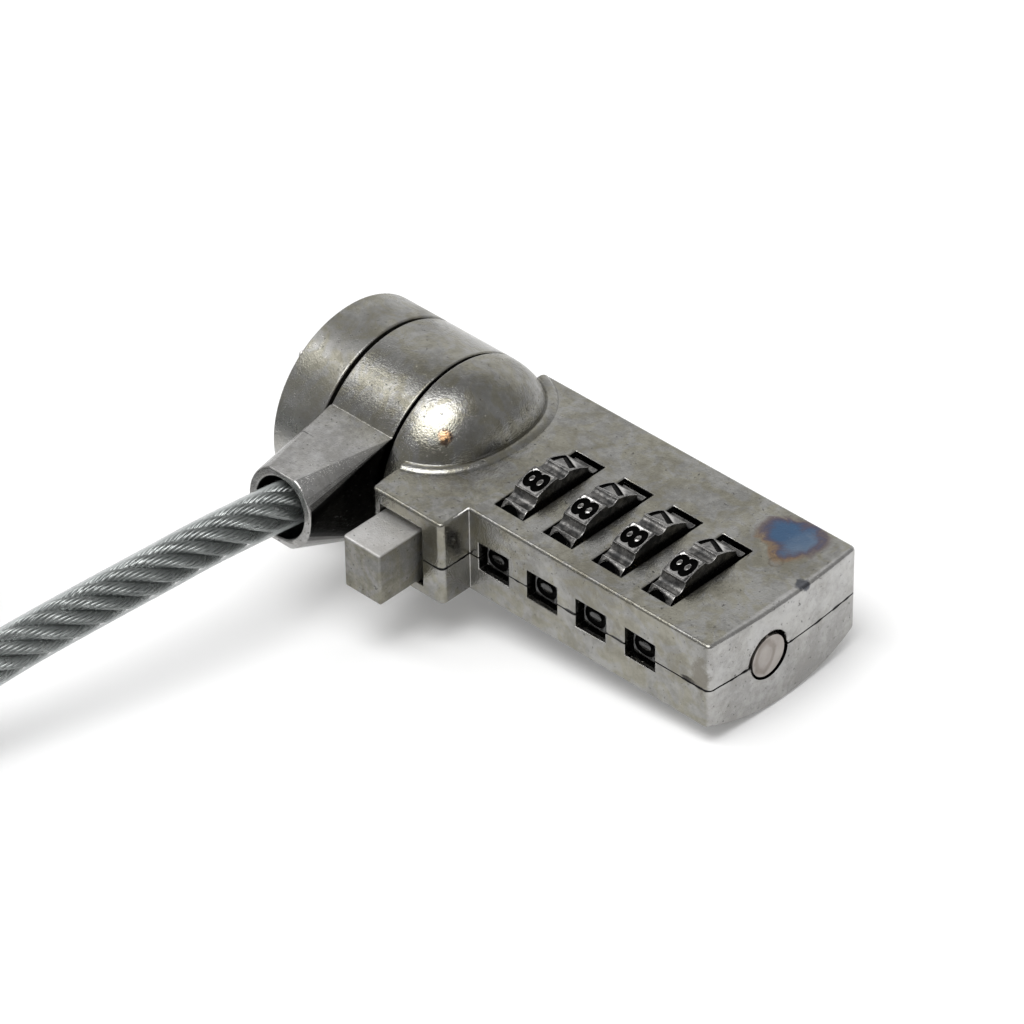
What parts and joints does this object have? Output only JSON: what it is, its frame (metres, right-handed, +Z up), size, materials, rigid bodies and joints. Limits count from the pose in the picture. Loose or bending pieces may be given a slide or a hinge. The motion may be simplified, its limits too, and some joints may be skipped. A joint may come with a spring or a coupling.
{
  "type": "laptop cable lock",
  "caption": "Combination laptop cable lock with number dials, a side push button, a turning T-bar in a round nose, and a swivelling arm with a coiled steel cable.",
  "frame": {"origin": "on the table under the middle of the lock head as it lies on the dome and the end of the case, without its cable", "axes": "+X along the case from the T-bar nose to the reset pin end, +Y from the button side to the back, +Z up from the table"},
  "size_m": [0.1289, 0.108, 0.0219],
  "materials": {
    "plated_zinc": "black-nickel plated zinc die casting, satin gloss with stains and fine pits",
    "dial_metal": "darkened plated zinc with polished edges and black-filled digits",
    "turned_steel": "turned bright steel",
    "reset_metal": "matt pinkish grey cut end",
    "sleeve_brass": "machined brass",
    "spring_steel": "bright spring steel",
    "cable_jacket": "clear PVC jacket over laid galvanised steel strands",
    "pad_rubber": "soft translucent rubber",
    "tie_fabric": "black hook-and-loop strap"
  },
  "bodies": {
    "housing": {"upper_shell": "plated_zinc", "lower_shell": "plated_zinc", "nose_cap": "plated_zinc", "nose_pad": "pad_rubber", "cap_pin": "turned_steel", "spindle": "turned_steel", "front_washer": "turned_steel", "rear_washer": "turned_steel", "detent_spring": "spring_steel", "button_spring": "spring_steel", "shaft_spring": "spring_steel", "reset_spring": "spring_steel", "case_screws": "turned_steel"},
    "swivel": {"swivel_collar": "plated_zinc", "cable_crimp": "turned_steel", "cable": "cable_jacket", "cable_coil": "cable_jacket", "cable_tail": "cable_jacket", "coil_tie": "tie_fabric", "eye_ferrule": "turned_steel", "cable_eye": "cable_jacket"},
    "button": {"push_button": "plated_zinc"},
    "locking_shaft": {"fin_shaft": "turned_steel"},
    "tee": {"t_bar": "turned_steel", "t_bar_pinion": "sleeve_brass"},
    "reset": {"reset_pin": "reset_metal"},
    "dial_1_body": {"dial_1": "dial_metal", "clutch_sleeve_1": "sleeve_brass"},
    "dial_2_body": {"dial_2": "dial_metal", "clutch_sleeve_2": "sleeve_brass"},
    "dial_3_body": {"dial_3": "dial_metal", "clutch_sleeve_3": "sleeve_brass"},
    "dial_4_body": {"dial_4": "dial_metal", "clutch_sleeve_4": "sleeve_brass"}
  },
  "joints": [
    {"name": "collar_swivel", "type": "hinge", "parent": "housing", "child": "swivel", "pos_m": [-0.01608, 0.00452, 0.01072], "axis": [0.9949, 0, -0.1009], "continuous": true},
    {"name": "button_press", "type": "slide", "parent": "housing", "child": "button", "axis": [0, 1, 0], "range_m": [0, 0.00314], "stiffness_N_per_m": 400, "springref_m": -0.002, "deforming": ["button_spring"]},
    {"name": "t_bar_turn", "type": "hinge", "parent": "housing", "child": "tee", "pos_m": [-0.02595, 0.00452, 0.01172], "axis": [0.9949, 0, -0.1009], "range_deg": [0, 90]},
    {"name": "shaft_slide", "type": "slide", "parent": "housing", "child": "locking_shaft", "axis": [0.9949, 0, -0.1009], "range_m": [0, 0.0008], "deforming": ["shaft_spring"]},
    {"name": "reset_press", "type": "slide", "parent": "housing", "child": "reset", "axis": [-0.9949, 0, 0.1009], "range_m": [0, 0.001], "stiffness_N_per_m": 500, "springref_m": -0.001, "deforming": ["reset_spring"]},
    {"name": "dial_1_turn", "type": "hinge", "parent": "housing", "child": "dial_1_body", "pos_m": [0.00172, 0.00242, 0.00871], "axis": [0.9949, 0, -0.1009], "continuous": true},
    {"name": "dial_2_turn", "type": "hinge", "parent": "housing", "child": "dial_2_body", "pos_m": [0.00769, 0.00242, 0.00811], "axis": [0.9949, 0, -0.1009], "continuous": true},
    {"name": "dial_3_turn", "type": "hinge", "parent": "housing", "child": "dial_3_body", "pos_m": [0.01366, 0.00242, 0.0075], "axis": [0.9949, 0, -0.1009], "continuous": true},
    {"name": "dial_4_turn", "type": "hinge", "parent": "housing", "child": "dial_4_body", "pos_m": [0.01963, 0.00242, 0.0069], "axis": [0.9949, 0, -0.1009], "continuous": true}
  ],
  "couplings": [
    {"joint": "t_bar_turn", "follows": "button_press", "rad_per_m": 500},
    {"joint": "shaft_slide", "follows": "button_press", "ratio": 0.25465}
  ]
}
